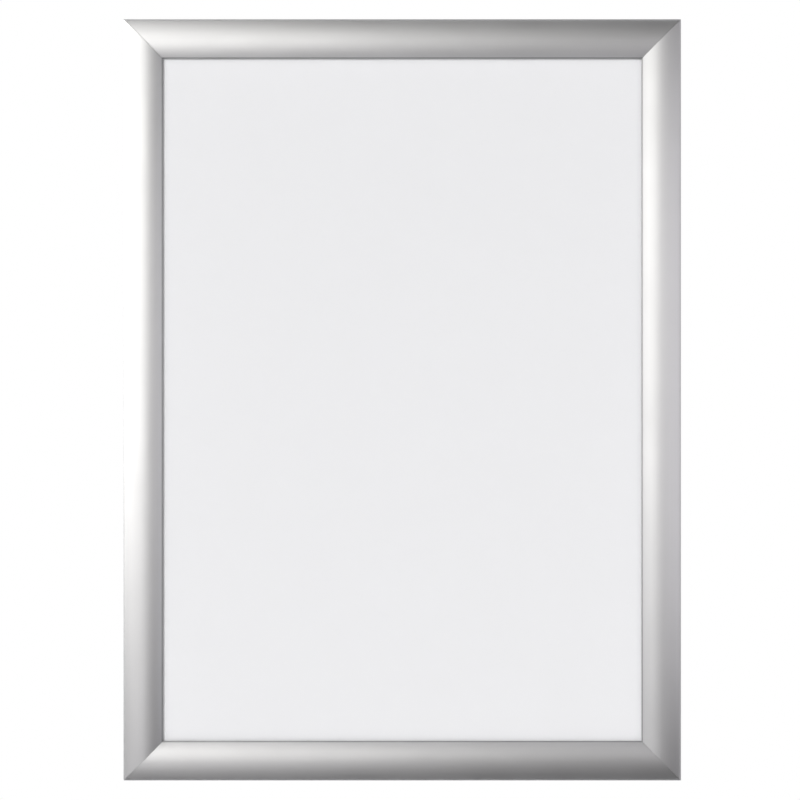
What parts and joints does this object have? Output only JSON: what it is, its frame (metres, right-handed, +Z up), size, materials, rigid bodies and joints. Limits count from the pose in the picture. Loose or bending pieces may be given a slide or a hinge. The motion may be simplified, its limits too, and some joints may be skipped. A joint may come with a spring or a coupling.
{
  "type": "poster frame",
  "caption": "Wall-hung snap poster frame: mitred convex cover rails hinged on base rails, over a clear sheet, a blank poster and a back panel.",
  "frame": {"origin": "on the wall plane, in the middle of the line of the two upper wall screws, at the back face of the top base rail", "axes": "+Z up, +Y back to the wall, -Y the front, +X to the right seen from the front"},
  "size_m": [0.468, 0.0135, 0.639],
  "materials": {
    "cover_rail": "satin",
    "base_rail": "satin",
    "corner_key": "satin",
    "spring": "satin",
    "back_panel": "matte",
    "poster": "matte",
    "clear_sheet": "satin"
  },
  "bodies": {
    "base": {"base_rail_top": "base_rail", "base_rail_bottom": "base_rail", "base_rail_left": "base_rail", "base_rail_right": "base_rail", "corner_key_top_left": "corner_key", "corner_key_top_right": "corner_key", "corner_key_bottom_left": "corner_key", "corner_key_bottom_right": "corner_key", "back_panel": "back_panel", "poster_sheet": "poster", "clear_cover_sheet": "clear_sheet"},
    "cover_top": {"snap_cover_top": "cover_rail"},
    "cover_bottom": {"snap_cover_bottom": "cover_rail"},
    "cover_left": {"snap_cover_left": "cover_rail"},
    "cover_right": {"snap_cover_right": "cover_rail"},
    "springs_top": {"spring_top_1": "spring", "spring_top_2": "spring"},
    "springs_bottom": {"spring_bottom_1": "spring", "spring_bottom_2": "spring"},
    "springs_left": {"spring_left_1": "spring", "spring_left_2": "spring", "spring_left_3": "spring"},
    "springs_right": {"spring_right_1": "spring", "spring_right_2": "spring", "spring_right_3": "spring"}
  },
  "joints": [
    {"name": "cover_top_hinge", "type": "hinge", "parent": "base", "child": "cover_top", "pos_m": [0, -0.00226, 0.00841], "axis": [-1, 0, 0], "range_deg": [0, 95], "deforming": ["spring_top_1", "spring_top_2"]},
    {"name": "cover_bottom_hinge", "type": "hinge", "parent": "base", "child": "cover_bottom", "pos_m": [0, -0.00226, -0.6276], "axis": [1, 0, 0], "range_deg": [0, 95], "deforming": ["spring_bottom_1", "spring_bottom_2"]},
    {"name": "cover_left_hinge", "type": "hinge", "parent": "base", "child": "cover_left", "pos_m": [-0.2325, -0.00226, -0.30959], "axis": [0, 0, -1], "range_deg": [0, 95], "deforming": ["spring_left_1", "spring_left_2", "spring_left_3"]},
    {"name": "cover_right_hinge", "type": "hinge", "parent": "base", "child": "cover_right", "pos_m": [0.2325, -0.00226, -0.30959], "axis": [0, 0, 1], "range_deg": [0, 95], "deforming": ["spring_right_1", "spring_right_2", "spring_right_3"]},
    {"name": "springs_top_tilt", "type": "hinge", "parent": "base", "child": "springs_top", "pos_m": [0, -0.00589, 0.00673], "axis": [-1, 0, 0], "range_deg": [0, 130.2]},
    {"name": "springs_bottom_tilt", "type": "hinge", "parent": "base", "child": "springs_bottom", "pos_m": [0, -0.00589, -0.62591], "axis": [1, 0, 0], "range_deg": [0, 130.2]},
    {"name": "springs_left_tilt", "type": "hinge", "parent": "base", "child": "springs_left", "pos_m": [-0.23082, -0.00589, -0.30959], "axis": [0, 0, -1], "range_deg": [0, 130.2]},
    {"name": "springs_right_tilt", "type": "hinge", "parent": "base", "child": "springs_right", "pos_m": [0.23082, -0.00589, -0.30959], "axis": [0, 0, 1], "range_deg": [0, 130.2]}
  ],
  "couplings": [
    {"joint": "springs_top_tilt", "follows": "cover_top_hinge", "ratio": 1.3705},
    {"joint": "springs_bottom_tilt", "follows": "cover_bottom_hinge", "ratio": 1.3705},
    {"joint": "springs_left_tilt", "follows": "cover_left_hinge", "ratio": 1.3705},
    {"joint": "springs_right_tilt", "follows": "cover_right_hinge", "ratio": 1.3705}
  ]
}
